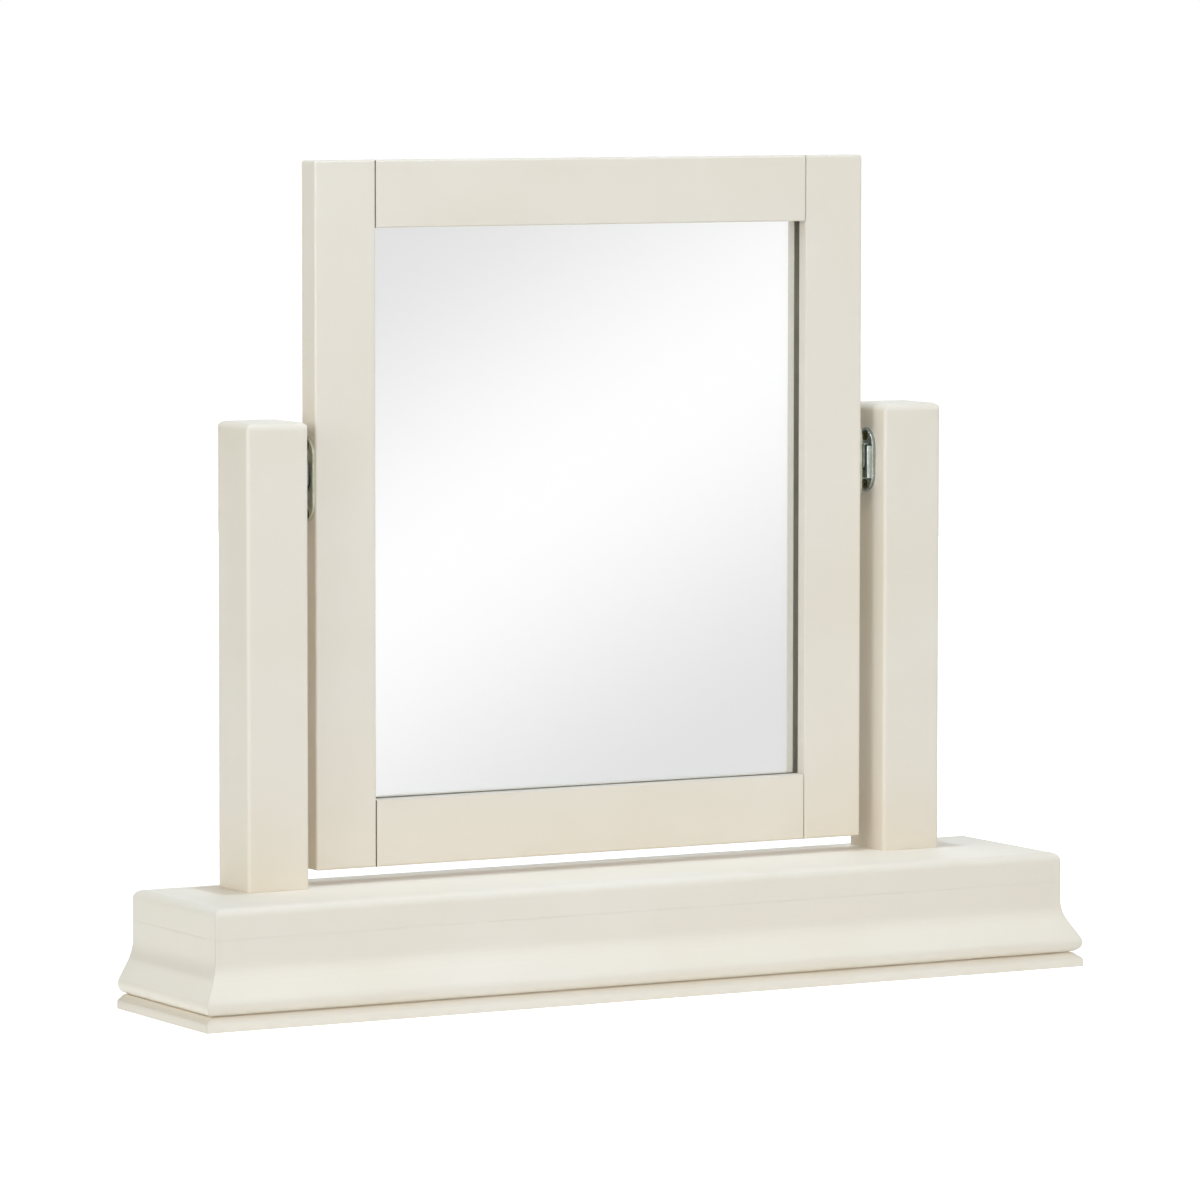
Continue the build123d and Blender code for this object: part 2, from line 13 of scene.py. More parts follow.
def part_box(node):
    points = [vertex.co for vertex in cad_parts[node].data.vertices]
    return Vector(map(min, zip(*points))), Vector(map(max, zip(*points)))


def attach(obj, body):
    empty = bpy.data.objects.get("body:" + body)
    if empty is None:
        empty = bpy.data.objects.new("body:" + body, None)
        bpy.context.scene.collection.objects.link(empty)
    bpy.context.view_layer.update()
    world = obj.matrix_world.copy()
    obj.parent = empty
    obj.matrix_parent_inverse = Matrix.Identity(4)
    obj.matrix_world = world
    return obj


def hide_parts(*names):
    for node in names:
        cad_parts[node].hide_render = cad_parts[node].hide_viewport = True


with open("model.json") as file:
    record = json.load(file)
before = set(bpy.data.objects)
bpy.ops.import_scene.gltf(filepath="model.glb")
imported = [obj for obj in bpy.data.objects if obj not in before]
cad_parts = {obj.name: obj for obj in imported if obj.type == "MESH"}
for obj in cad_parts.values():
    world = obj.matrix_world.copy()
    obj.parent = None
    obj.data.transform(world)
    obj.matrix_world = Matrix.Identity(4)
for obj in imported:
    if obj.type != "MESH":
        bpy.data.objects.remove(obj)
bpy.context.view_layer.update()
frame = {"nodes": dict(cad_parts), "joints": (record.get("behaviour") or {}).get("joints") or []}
MM = 0.001


# ---- Camera -----------------------------------------------------------------------------------
# A long lens from the front left, hardly above the middle of the glass, so that the uprights stay
# parallel. It stands so that one point of the mirror lies at a given place in its view.
YAW, DOWN, ROLL = np.radians((29.4022, 4.7477, 0.0552))
LENS, SENSOR = 213.84, 36.0                         # in millimetres, as on a real camera
FAR_CLIP = 100.0
AIMED_POINT = np.array((0.0, 0.0, 0.3))
AIMED_IN_VIEW = np.array((0.0068215, 0.0660457, 4.2659969))     # to the right, up and ahead

ahead = np.array((np.sin(YAW) * np.cos(DOWN), np.cos(YAW) * np.cos(DOWN), -np.sin(DOWN)))
level = np.array((np.cos(YAW), -np.sin(YAW), 0.0))
upright = np.cross(level, ahead)
axes = np.array((np.cos(ROLL) * level + np.sin(ROLL) * upright,
                 np.cos(ROLL) * upright - np.sin(ROLL) * level,
                 ahead))
camera_pose = np.eye(4)
camera_pose[:3, :3] = (axes * ((1,), (1,), (-1,))).T
camera_pose[:3, 3] = AIMED_POINT - AIMED_IN_VIEW @ axes
camera = bpy.data.objects.new("camera", bpy.data.cameras.new("camera"))
camera.data.lens = LENS
camera.data.sensor_width = SENSOR
camera.data.clip_end = FAR_CLIP
camera.matrix_world = Matrix(camera_pose.tolist())
bpy.context.scene.collection.objects.link(camera)
bpy.context.scene.camera = camera
bpy.context.scene.view_settings.view_transform = "Standard"


# ---- Room -------------------------------------------------------------------------------------
# A pale studio: matt white floor, a dim warm dome, a small cool lamp straight overhead, softboxes in
# front and at the left, and a low one behind. Two glowing pieces stand there for the reflections alone,
# as painted reflections: a screen brightest in a tilted band, which the glass mirrors, and a cloth
# behind, grey in a soft patch, which paints dark reflections that keep metal from washing out.
WHITE = "#ffffff"
FLOOR_COLOUR = "#f1f1ef"
FLOOR_SIZE = 60.0
FLOOR_NEAR, FLOOR_FAR = 0.5, 3.0
FLOOR_LIFT = (0.70, 1.00)       # glow for the eye and the glass alone: out to near, and past far
DOME_TOP, DOME_SIDE = 0.04, 0.25
DOME_COLOUR = "#fff7d9"
COOLER, COOL, FAINTLY_COOL, PLAIN = "#d6e9ff", "#e0eaff", "#f4fbff", "#ffffff"
SOFTBOXES = {                   # name: (place, aimed at, size, watts, colour)
    "lamp_overhead": ((0.0, 0.035, 4.0), (0.0, 0.035, 0.1), 0.06, 55.0, COOLER),
    "high_front_softbox": ((0.0, -1.0, 2.4), (0.0, 0.0, 0.1), 1.0, 21.0, COOLER),
    "front_softbox": ((0.3, -3.0, 0.9), (0.0, 0.0, 0.2), 1.6, 22.0, PLAIN),
    "left_softbox": ((-3.2, -0.3, 1.0), (0.0, 0.0, 0.25), 1.8, 40.0, FAINTLY_COOL),
    "left_front_softbox": ((-2.4, -1.6, 1.3), (0.0, 0.0, 0.2), 1.6, 12.0, COOL),
    "right_front_softbox": ((2.2, -2.0, 1.5), (0.0, 0.0, 0.2), 1.6, 8.5, COOL),
    "right_back_softbox": ((2.0, 3.0, 0.7), (0.0, 0.0, 0.25), 1.6, 26.0, FAINTLY_COOL),
}
SCREEN_DISTANCE = 0.86          # from the middle of the glass, along the mirrored line of sight
SCREEN_SIZE = (1.6, 0.50)
FOOT_HEIGHT = 0.004             # of screen and cloth, off the floor
SCREEN_BAND_TILT = np.radians(-33.0)
SCREEN_BAND = 0.24              # from the brightest line out to where the screen is darkest
SCREEN_BAND_RISE = 0.025        # of that line past the middle
SCREEN_LIGHT = (1.155, 0.878)   # on that line, and off it
CLOTH_PLACE, CLOTH_SIZE = 1.3, (6.0, 1.6)
CLOTH_SHADE = (-0.75, 1.3, 0.2)         # where the cloth is darkest
CLOTH_SHADE_SIZE = (1.5, 1.0, 1.2)      # from there to where it is as white as the room
CLOTH_SHADE_CORE = 0.3                  # share of that size that is evenly dark
CLOTH_LIGHT = (0.09, 1.0)


def linear(code):
    """An sRGB hex colour as linear RGBA: the sRGB curve undone for each channel."""
    srgb = np.array([int(code[i:i + 2], 16) for i in (1, 3, 5)]) / 255
    channels = np.where(srgb <= 0.04045, srgb / 12.92, ((srgb + 0.055) / 1.055) ** 2.4)
    return (*channels.tolist(), 1.0)


def add(owner, kind, inputs=(), **settings):
    """Adds a shader node to a material or the world. inputs gives each socket a value or a link."""
    made = owner.node_tree.nodes.new("ShaderNode" + kind)
    for setting, value in settings.items():
        setattr(made, setting, value)
    for socket, value in dict(inputs).items():
        if isinstance(value, bpy.types.NodeSocket):
            owner.node_tree.links.new(value, made.inputs[socket])
        else:
            made.inputs[socket].default_value = value
    return made


def empty_tree(owner):
    """Switches a material or the world to nodes and clears them."""
    owner.use_nodes = True
    owner.node_tree.nodes.clear()
    return owner


def seen_ray(owner):
    """1 for what the eye meets directly, mirrored or through glass, and 0 for light on its way."""
    path = add(owner, "LightPath").outputs
    direct = add(owner, "Math", {0: path["Is Camera Ray"], 1: path["Is Glossy Ray"]}, operation="MAXIMUM")
    return add(owner, "Math", {0: direct.outputs[0], 1: path["Is Transmission Ray"]},
               operation="MAXIMUM").outputs[0]


world = empty_tree(bpy.data.worlds.new("studio"))
bpy.context.scene.world = world
direction = add(world, "TexCoord").outputs["Generated"]
height = add(world, "SeparateXYZ", {0: direction}).outputs["Z"]
dome = add(world, "MapRange", {"Value": height, "From Min": 0.0, "From Max": 1.0,
                               "To Min": DOME_SIDE, "To Max": DOME_TOP})
light = add(world, "Background", {"Color": linear(DOME_COLOUR), "Strength": dome.outputs[0]})
backdrop = add(world, "Background", {"Color": linear(WHITE), "Strength": 1.0})
shown = add(world, "MixShader", {0: seen_ray(world), 1: light.outputs[0], 2: backdrop.outputs[0]})
add(world, "OutputWorld", {"Surface": shown.outputs[0]})


def rectangle(name, corners, material):
    """A flat stage piece through four corners."""
    mesh = bpy.data.meshes.new(name)
    mesh.from_pydata(corners, [], [(0, 1, 2, 3)])
    mesh.materials.append(material)
    piece = bpy.data.objects.new(name, mesh)
    bpy.context.scene.collection.objects.link(piece)
    return piece


floor_paint = empty_tree(bpy.data.materials.new("studio_floor_paint"))
matt = add(floor_paint, "BsdfDiffuse", {"Color": linear(FLOOR_COLOUR)})
from_mirror = add(floor_paint, "VectorMath", {0: add(floor_paint, "TexCoord").outputs["Object"]},
                  operation="LENGTH").outputs["Value"]
spread = add(floor_paint, "MapRange", {"Value": from_mirror, "From Min": FLOOR_NEAR, "From Max": FLOOR_FAR,
                                       "To Min": FLOOR_LIFT[0], "To Max": FLOOR_LIFT[1]}).outputs[0]
lift = add(floor_paint, "Math", {0: seen_ray(floor_paint), 1: spread}, operation="MULTIPLY")
glow = add(floor_paint, "Emission", {"Color": linear(WHITE), "Strength": lift.outputs[0]})
both = add(floor_paint, "AddShader", {0: matt.outputs[0], 1: glow.outputs[0]})
add(floor_paint, "OutputMaterial", {"Surface": both.outputs[0]})
half = FLOOR_SIZE / 2
rectangle("floor", [(-half, -half, 0), (half, -half, 0), (half, half, 0), (-half, half, 0)], floor_paint)

for name, (place, target, size, watts, colour) in SOFTBOXES.items():
    softbox = bpy.data.objects.new(name, bpy.data.lights.new(name, "AREA"))
    softbox.data.shape = "SQUARE"
    softbox.data.size = size
    softbox.data.energy = watts
    softbox.data.color = linear(colour)[:3]
    softbox.location = place
    aim = Vector(target) - softbox.location
    softbox.rotation_euler = aim.to_track_quat("-Z", "Y").to_euler()
    bpy.context.scene.collection.objects.link(softbox)

glass_low, glass_high = (np.array(corner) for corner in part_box("mirror_glass"))
glass_middle = (glass_low + glass_high) / 2
to_glass = glass_middle - camera_pose[:3, 3]
mirrored = to_glass * (1, -1, 1) / np.linalg.norm(to_glass)
screen_middle = glass_middle + SCREEN_DISTANCE * mirrored
screen_across = np.cross(mirrored, (0, 0, 1))
screen_across = screen_across / np.linalg.norm(screen_across)
# Painted reflection: an unseen screen glows white, brightest along a tilted band, where the glass mirrors the
# view, so the glass shows that band.
screen_material = empty_tree(bpy.data.materials.new("screen_cloth"))
place = add(screen_material, "TexCoord").outputs["Object"]
band_axis = np.cos(SCREEN_BAND_TILT) * np.array((0, 0, 1)) - np.sin(SCREEN_BAND_TILT) * screen_across
band_middle = tuple(screen_middle + SCREEN_BAND_RISE * band_axis)
from_middle = add(screen_material, "VectorMath", {0: place, 1: band_middle}, operation="SUBTRACT")
across_band = add(screen_material, "VectorMath", {0: from_middle.outputs[0], 1: tuple(band_axis)},
                  operation="DOT_PRODUCT").outputs["Value"]
off_band = add(screen_material, "Math", {0: across_band}, operation="ABSOLUTE").outputs[0]
shade = add(screen_material, "MapRange", {"Value": off_band, "From Min": 0.0, "From Max": SCREEN_BAND,
                                          "To Min": SCREEN_LIGHT[0], "To Max": SCREEN_LIGHT[1]},
            interpolation_type="SMOOTHSTEP").outputs[0]
lit = add(screen_material, "Emission", {"Color": linear(WHITE), "Strength": shade})
add(screen_material, "OutputMaterial", {"Surface": lit.outputs[0]})
reach = SCREEN_SIZE[0] / 2 * screen_across
foot = np.array((screen_middle[0], screen_middle[1], FOOT_HEIGHT))
head = foot + (0, 0, SCREEN_SIZE[1])
screen = rectangle("screen", [tuple(foot - reach), tuple(foot + reach), tuple(head + reach),
                              tuple(head - reach)], screen_material)

# Painted dark reflection: the cloth glows grey in a soft patch and white beyond it. It is seen only in
# reflections, where it darkens the metal and the lacquer.
shaded_cloth = empty_tree(bpy.data.materials.new("shaded_cloth"))
place = add(shaded_cloth, "TexCoord").outputs["Object"]
off_shade = add(shaded_cloth, "VectorMath", {0: place, 1: CLOTH_SHADE}, operation="SUBTRACT").outputs[0]
in_sizes = add(shaded_cloth, "VectorMath", {0: off_shade, 1: CLOTH_SHADE_SIZE}, operation="DIVIDE").outputs[0]
distance = add(shaded_cloth, "VectorMath", {0: in_sizes}, operation="LENGTH").outputs["Value"]
faded = add(shaded_cloth, "MapRange", {"Value": distance, "From Min": CLOTH_SHADE_CORE, "From Max": 1.0,
                                       "To Min": CLOTH_LIGHT[0], "To Max": CLOTH_LIGHT[1]},
            interpolation_type="SMOOTHSTEP").outputs[0]
dim = add(shaded_cloth, "Emission", {"Color": linear(WHITE), "Strength": faded})
add(shaded_cloth, "OutputMaterial", {"Surface": dim.outputs[0]})
half, top = CLOTH_SIZE[0] / 2, CLOTH_SIZE[1]
cloth = rectangle("cloth", [(-half, CLOTH_PLACE, FOOT_HEIGHT), (half, CLOTH_PLACE, FOOT_HEIGHT),
                            (half, CLOTH_PLACE, top), (-half, CLOTH_PLACE, top)], shaded_cloth)
for prop in (screen, cloth):
    prop.visible_camera = prop.visible_diffuse = prop.visible_shadow = False


# ---- Base -------------------------------------------------------------------------------------
# A low box of solid wood: plinth board, three mitred mouldings, back board and rounded top board,
# glued and screwed together, then sanded and sprayed with ivory satin lacquer in several coats.
LACQUER, LACQUER_DEEP = "#efe4d3", "#ece0cc"
LACQUER_SHEEN, LACQUER_IOR = (0.42, 0.50), 1.42     # roughness of satin lacquer, and its IOR
NOISE_LOW, NOISE_HIGH = 0.3, 0.7                    # most of a noise's values lie between these
GRAIN_WIDTH, GRAIN_LENGTH = 1.3 * MM, 70 * MM       # pores drawn out along the board
GRAIN_DEPTH = 0.045 * MM
PEEL_SIZE, PEEL_DEPTH = 2.2 * MM, 0.006 * MM        # the faint waviness that spraying leaves
CLOUD_SIZE = 90 * MM                                # slow drift of the film's thickness
ARRIS = 0.45 * MM                                   # softness that the paint gives a sharp edge
# Section of the plinth's moulded edge, (inset, height): upright, arris, bevel, and the slot that
# leaves a fine shadow under the nose of the moulding.
PLINTH_SECTION = np.array(((0.0, 0.0), (0.0, 4.6), (0.5, 5.4), (4.6, 8.4), (6.4, 8.4), (6.4, 9.0))) * MM
PLINTH_HOLE = np.array(((4.05, 0.0), (4.05, 0.1), (2.05, 2.1), (2.05, 9.0))) * MM   # (radius, height)
PLINTH_HOLES_LONG = (-240 * MM, 0.0, 240 * MM)      # of the two rows, front and back
PLINTH_HOLES_DEEP = (-42 * MM, 52.5 * MM)
PLINTH_HOLES_END = 282 * MM                         # of the one at each end
HOLE_COLUMNS = 48
WELD, SHARP_TURN = 1e-7, np.radians(35)             # for closing a mesh, and where it stays sharp


def sprayed_wood(name, along, joint=None, rebate=None):
    """Satin lacquer on sanded wood: an even ivory film in which the grain shows only as faint lines
    in the sheen, softer at every edge because the paint draws back from it.

    joint is how far from the middle a rail meets its stiles. The film has cracked there in a fine line.
    rebate is the box, (low, high), behind the frame's lip that the spray hardly reached. Its tone is bare
    wood, darkened further as painted shade in the rebate."""
    material = empty_tree(bpy.data.materials.new(name))
    place = add(material, "TexCoord").outputs["Object"]
    density = [1 / GRAIN_WIDTH] * 3
    density[along] = 1 / GRAIN_LENGTH
    drawn_out = add(material, "Mapping", {"Vector": place, "Scale": density}).outputs[0]
    grain = add(material, "TexNoise", {"Vector": drawn_out, "Scale": 1.0, "Detail": 3.0}).outputs[0]
    peel = add(material, "TexNoise", {"Vector": place, "Scale": 1 / PEEL_SIZE, "Detail": 1.0}).outputs[0]
    cloud = add(material, "TexNoise", {"Vector": place, "Scale": 1 / CLOUD_SIZE, "Detail": 2.0}).outputs[0]
    film = add(material, "MapRange", {"Value": cloud, "From Min": NOISE_LOW,
                                      "From Max": NOISE_HIGH}).outputs[0]
    colour = add(material, "Mix", {"Factor": film, "A": linear(LACQUER), "B": linear(LACQUER_DEEP)},
                 data_type="RGBA").outputs["Result"]
    if joint:
        x = add(material, "SeparateXYZ", {0: place}).outputs["X"]
        out = add(material, "Math", {0: x}, operation="ABSOLUTE").outputs[0]
        crack = add(material, "Math", {0: out, 1: joint - CRACK_WIDTH}, operation="GREATER_THAN").outputs[0]
        colour = add(material, "Mix", {"Factor": crack, "A": colour, "B": linear(CRACK_COLOUR)},
                     data_type="RGBA").outputs["Result"]
    # Painted shade: inside the rebate box the film gives way to bare wood, in a tone darkened to stand in for
    # the rebate's shade.
    if rebate is not None:
        low, high = rebate
        centre, reach = tuple((low + high) / 2), tuple((high - low) / 2)
        off_centre = add(material, "VectorMath", {0: place, 1: centre}, operation="SUBTRACT").outputs[0]
        distance = add(material, "VectorMath", {0: off_centre}, operation="ABSOLUTE").outputs[0]
        within = add(material, "VectorMath", {0: reach, 1: distance}, operation="SUBTRACT").outputs[0]
        sides = add(material, "SeparateXYZ", {0: within}).outputs
        nearest = add(material, "Math", {0: sides["X"], 1: sides["Y"]}, operation="MINIMUM").outputs[0]
        nearest = add(material, "Math", {0: nearest, 1: sides["Z"]}, operation="MINIMUM").outputs[0]
        bare_and_shaded = add(material, "Math", {0: nearest, 1: 0.0}, operation="GREATER_THAN").outputs[0]
        colour = add(material, "Mix", {"Factor": bare_and_shaded, "A": colour, "B": linear(REBATE_WOOD_AND_SHADE)},
                     data_type="RGBA").outputs["Result"]
    sheen = add(material, "MapRange", {"Value": grain, "From Min": NOISE_LOW, "From Max": NOISE_HIGH,
                                       "To Min": LACQUER_SHEEN[0], "To Max": LACQUER_SHEEN[1]}).outputs[0]
    edge = add(material, "Bevel", {"Radius": ARRIS}, samples=4).outputs[0]
    grained = add(material, "Bump", {"Strength": 1.0, "Distance": GRAIN_DEPTH, "Height": grain,
                                     "Normal": edge}).outputs[0]
    surface = add(material, "Bump", {"Strength": 1.0, "Distance": PEEL_DEPTH, "Height": peel,
                                     "Normal": grained}).outputs[0]
    shader = add(material, "BsdfPrincipled", {"Base Color": colour, "Roughness": sheen,
                                              "IOR": LACQUER_IOR, "Normal": surface})
    add(material, "OutputMaterial", {"Surface": shader.outputs[0]})
    return material


def finish_node(node, material):
    """Gives a CAD node its finish."""
    frame["nodes"][node].data.materials[0] = material


def skin(name, grids, materials, bands=None):
    """One mesh from grids of points, each (rows, columns, 3) with its columns closed in a ring.

    Row after row is joined by quads. An end row drawn together in a point or a line closes the shape.
    bands gives each strip between two rows the number of its material."""
    points, faces, slots, start = [], [], [], 0
    for grid in grids:
        rows, columns = grid.shape[:2]
        index = start + np.arange(rows * columns).reshape(rows, columns)
        ahead_of = np.roll(index, -1, axis=1)
        quads = np.stack((index[:-1], ahead_of[:-1], ahead_of[1:], index[1:]), axis=-1)
        points.append(grid.reshape(-1, 3))
        faces.append(quads.reshape(-1, 4))
        slots.append(np.repeat(np.zeros(rows - 1, int) if bands is None else bands, columns))
        start += rows * columns
    mesh = bpy.data.meshes.new(name)
    mesh.from_pydata(np.concatenate(points).tolist(), [], np.concatenate(faces).tolist())
    mesh.polygons.foreach_set("material_index", np.concatenate(slots).astype(np.int32))
    for material in materials:
        mesh.materials.append(material)
    shell = bmesh.new()
    shell.from_mesh(mesh)
    bmesh.ops.remove_doubles(shell, verts=shell.verts, dist=WELD)
    bmesh.ops.recalc_face_normals(shell, faces=shell.faces)
    shell.to_mesh(mesh)
    shell.free()
    mesh.polygons.foreach_set("use_smooth", np.ones(len(mesh.polygons), bool))
    mesh.set_sharp_from_angle(angle=SHARP_TURN)
    piece = bpy.data.objects.new(name, mesh)
    bpy.context.scene.collection.objects.link(piece)
    return piece


def fit_piece(piece, body, slot, *nodes):
    """Hangs a piece on the body that carries it and hides the CAD nodes that it stands for. slot is not used.
    """
    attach(piece, body)
    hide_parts(*nodes)


def plinth_surfaces():
    """The plinth's moulded edge as rings of four corners, each drawn in by its inset on the front and
    the ends and level with the back, and its countersunk holes as rings of their own."""
    low, high = (np.array(corner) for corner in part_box("plinth_board"))
    inset, height = PLINTH_SECTION[:, :1], PLINTH_SECTION[:, 1:]
    front, back = low[1] + inset, np.full_like(inset, high[1])
    x = np.hstack((low[0] + inset, high[0] - inset, high[0] - inset, low[0] + inset))
    edge = np.stack((x, np.hstack((front, front, back, back)), np.broadcast_to(height, x.shape)), axis=2)
    angle = np.linspace(0, 2 * np.pi, HOLE_COLUMNS, endpoint=False)
    radius, level = PLINTH_HOLE[:, :1], np.broadcast_to(PLINTH_HOLE[:, 1:], (len(PLINTH_HOLE), HOLE_COLUMNS))
    hole = np.stack((radius * np.cos(angle), radius * np.sin(angle), level), axis=2)
    places = [(x, y) for y in PLINTH_HOLES_DEEP for x in PLINTH_HOLES_LONG]
    places += [(-PLINTH_HOLES_END, 0.0), (PLINTH_HOLES_END, 0.0)]
    return [edge] + [hole + (*place, 0.0) for place in places]


wood_across, wood_back, wood_up = (sprayed_wood("ivory_lacquer_" + way, along) for along, way in
                                   enumerate(("grain_across", "grain_to_back", "grain_upright")))
plinth = skin("bevelled_plinth", plinth_surfaces(), [wood_across])
# Underside and top are flat faces round the holes, filled between the rims at each level.
shell = bmesh.new()
shell.from_mesh(plinth.data)
for level in PLINTH_SECTION[[0, -1], 1]:
    rims = [edge for edge in shell.edges
            if edge.is_boundary and all(abs(vertex.co.z - level) < 10 * WELD for vertex in edge.verts)]
    bmesh.ops.triangle_fill(shell, use_beauty=True, edges=rims)
bmesh.ops.recalc_face_normals(shell, faces=shell.faces)
shell.to_mesh(plinth.data)
shell.free()
plinth.data.set_sharp_from_angle(angle=SHARP_TURN)
fit_piece(plinth, "stand", "painted_wood", "plinth_board")
for node in ("front_moulding", "back_board", "top_board"):
    finish_node(node, wood_across)
for node in ("left_moulding", "right_moulding"):
    finish_node(node, wood_back)


# ---- Inside the base --------------------------------------------------------------------------
# Three-cornered blocks of sawn pine glued into the corners, and the screws that draw the plinth up
# and the posts down. They're bare, because nobody sees them once the top is on.
PINE, PINE_LATE = "#d9bd8e", "#b98f58"
RING_WIDTH, RING_STRETCH = 3.5 * MM, 25             # late wood's spacing, drawn out along the board
RING_SHARE = (0.42, 0.62)                           # of the noise: where early wood turns to late
SAWN_DEPTH, SAWN_ROUGHNESS = 0.1 * MM, 0.7
SCREW_ZINC, SCREW_ZINC_WORN = "#c9b67c", "#a8a393"
PLATING_SHARE = (0.35, 0.65)                        # of the noise: where bright plating turns dull
MARK_SIZE, MARK_DEPTH, MARK_STRENGTH = 0.25 * MM, 0.005 * MM, 0.4


def bare_wood(name, light, dark, ring_width, along):
    """Unfinished wood: bands of pale early and darker late wood, and a dull, slightly rough surface."""
    material = empty_tree(bpy.data.materials.new(name))
    place = add(material, "TexCoord").outputs["Object"]
    density = [1 / ring_width] * 3
    density[along] = 1 / (RING_STRETCH * ring_width)
    drawn_out = add(material, "Mapping", {"Vector": place, "Scale": density}).outputs[0]
    rings = add(material, "TexNoise", {"Vector": drawn_out, "Scale": 0.6, "Detail": 4.0}).outputs[0]
    share = add(material, "MapRange", {"Value": rings, "From Min": RING_SHARE[0],
                                       "From Max": RING_SHARE[1]}).outputs[0]
    colour = add(material, "Mix", {"Factor": share, "A": linear(light), "B": linear(dark)},
                 data_type="RGBA").outputs["Result"]
    sawn = add(material, "Bump", {"Distance": SAWN_DEPTH, "Height": rings}).outputs[0]
    shader = add(material, "BsdfPrincipled", {"Base Color": colour, "Roughness": SAWN_ROUGHNESS,
                                              "Normal": sawn})
    add(material, "OutputMaterial", {"Surface": shader.outputs[0]})
    return material


def plated_steel(name, bright, dull, mottle, roughness, edge=None, metallic=1.0):
    """Plated steel: a metal whose sheen clouds over in patches as large as the mottle, with fine
    tumbling marks. edge is the radius that a die has left on the edges, where the mesh has them sharp.
    metallic below 1 gives the finish a matt share, so that a plate in a shaded gap looks darker: painted
    shade."""
    material = empty_tree(bpy.data.materials.new(name))
    place = add(material, "TexCoord").outputs["Object"]
    cloud = add(material, "TexNoise", {"Vector": place, "Scale": 1 / mottle, "Detail": 4.0}).outputs[0]
    share = add(material, "MapRange", {"Value": cloud, "From Min": PLATING_SHARE[0],
                                       "From Max": PLATING_SHARE[1]}).outputs[0]
    colour = add(material, "Mix", {"Factor": share, "A": linear(bright), "B": linear(dull)},
                 data_type="RGBA").outputs["Result"]
    sheen = add(material, "MapRange", {"Value": cloud, "From Min": NOISE_LOW, "From Max": NOISE_HIGH,
                                       "To Min": roughness * 0.8, "To Max": roughness * 1.25}).outputs[0]
    marks = add(material, "TexNoise", {"Vector": place, "Scale": 1 / MARK_SIZE}).outputs[0]
    surface = add(material, "Bump", {"Strength": MARK_STRENGTH, "Distance": MARK_DEPTH, "Height": marks})
    if edge:
        rounded = add(material, "Bevel", {"Radius": edge}, samples=4).outputs[0]
        material.node_tree.links.new(rounded, surface.inputs["Normal"])
    shader = add(material, "BsdfPrincipled", {"Base Color": colour, "Roughness": sheen,
                                              "Metallic": metallic, "Normal": surface.outputs[0]})
    add(material, "OutputMaterial", {"Surface": shader.outputs[0]})
    return material


sawn_pine = bare_wood("sawn_pine", PINE, PINE_LATE, RING_WIDTH, along=2)
yellow_zinc = plated_steel("yellow_passivated_zinc", SCREW_ZINC, SCREW_ZINC_WORN, mottle=2 * MM,
                           roughness=0.35, edge=0.15 * MM)
finish_node("glue_blocks", sawn_pine)
for node in ("plinth_screws", "post_screws"):
    finish_node(node, yellow_zinc)


# ---- Posts ------------------------------------------------------------------------------------
# Two square posts of solid wood, rounded over on top and sprayed like the base. Each stands on two
# grooved beech dowels and is drawn down by two screws from inside the base.
BEECH, BEECH_FLECK = "#dcbf96", "#c79f6e"
FLECK_WIDTH = 1.2 * MM

beech_up = bare_wood("turned_beech_upright", BEECH, BEECH_FLECK, FLECK_WIDTH, along=2)
for node in ("left_post", "right_post"):
    finish_node(node, wood_up)
finish_node("post_dowels", beech_up)


# ---- Mirror frame -----------------------------------------------------------------------------
# Two stiles with two rails butted between them on beech dowels. The paint has cracked along the
# butt joints, as it does on such frames, so a fine brown line shows at each end of a rail.
CRACK_COLOUR = "#5b4c36"
CRACK_WIDTH = 0.45 * MM
REBATE_WOOD_AND_SHADE = "#b3aa92"         # bare wood with a breath of paint on it, darkened further as painted shade in the rebate
REBATE_ROOM = np.array(((-1.4, -0.1, -1.4), (1.4, 6.0, 1.4))) * MM      # past the glass, low and high

rail_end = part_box("top_rail")[1][0]
rebate_box = np.array((glass_low, glass_high)) + REBATE_ROOM
wood_stile = sprayed_wood("ivory_lacquer_on_stiles", 2, rebate=rebate_box)
wood_jointed = sprayed_wood("ivory_lacquer_on_rails", 0, joint=rail_end, rebate=rebate_box)
beech_across = bare_wood("turned_beech_level", BEECH, BEECH_FLECK, FLECK_WIDTH, along=0)
for node in ("top_rail", "bottom_rail"):
    finish_node(node, wood_jointed)
for node in ("left_stile", "right_stile"):
    finish_node(node, wood_stile)
finish_node("frame_dowels", beech_across)


# ---- Glass ------------------------------------------------------------------------------------
# A 5 mm float glass with ground edges, silvered behind. Clear glass lies in front of the silver, so
# the frame's lip shows again in it, with a dark line between where the rebate is mirrored.
GLASS_TINT, SILVER = "#fdfefd", "#f0f0f0"
GLASS_IOR = 1.52
GLASS_ARRIS, GLASS_SHARP_TURN = 0.6 * MM, np.radians(10)
SILVERING = 0.05 * MM           # silver and its backing paint, behind the glass

clear_glass = empty_tree(bpy.data.materials.new("float_glass"))
shader = add(clear_glass, "BsdfPrincipled", {"Base Color": linear(GLASS_TINT), "Roughness": 0.0,
                                             "IOR": GLASS_IOR, "Transmission Weight": 1.0})
# Light on its way to the rebate passes straight through. Bending it would bring noise and no more.
path = add(clear_glass, "LightPath").outputs
on_its_way = add(clear_glass, "Math", {0: path["Is Shadow Ray"], 1: path["Is Diffuse Ray"]},
                 operation="MAXIMUM")
passing = add(clear_glass, "BsdfTransparent")
lit_through = add(clear_glass, "MixShader", {0: on_its_way.outputs[0], 1: shader.outputs[0],
                                             2: passing.outputs[0]})
add(clear_glass, "OutputMaterial", {"Surface": lit_through.outputs[0]})
silver = empty_tree(bpy.data.materials.new("mirror_silver"))
shader = add(silver, "BsdfPrincipled", {"Base Color": linear(SILVER), "Roughness": 0.0, "Metallic": 1.0})
add(silver, "OutputMaterial", {"Surface": shader.outputs[0]})

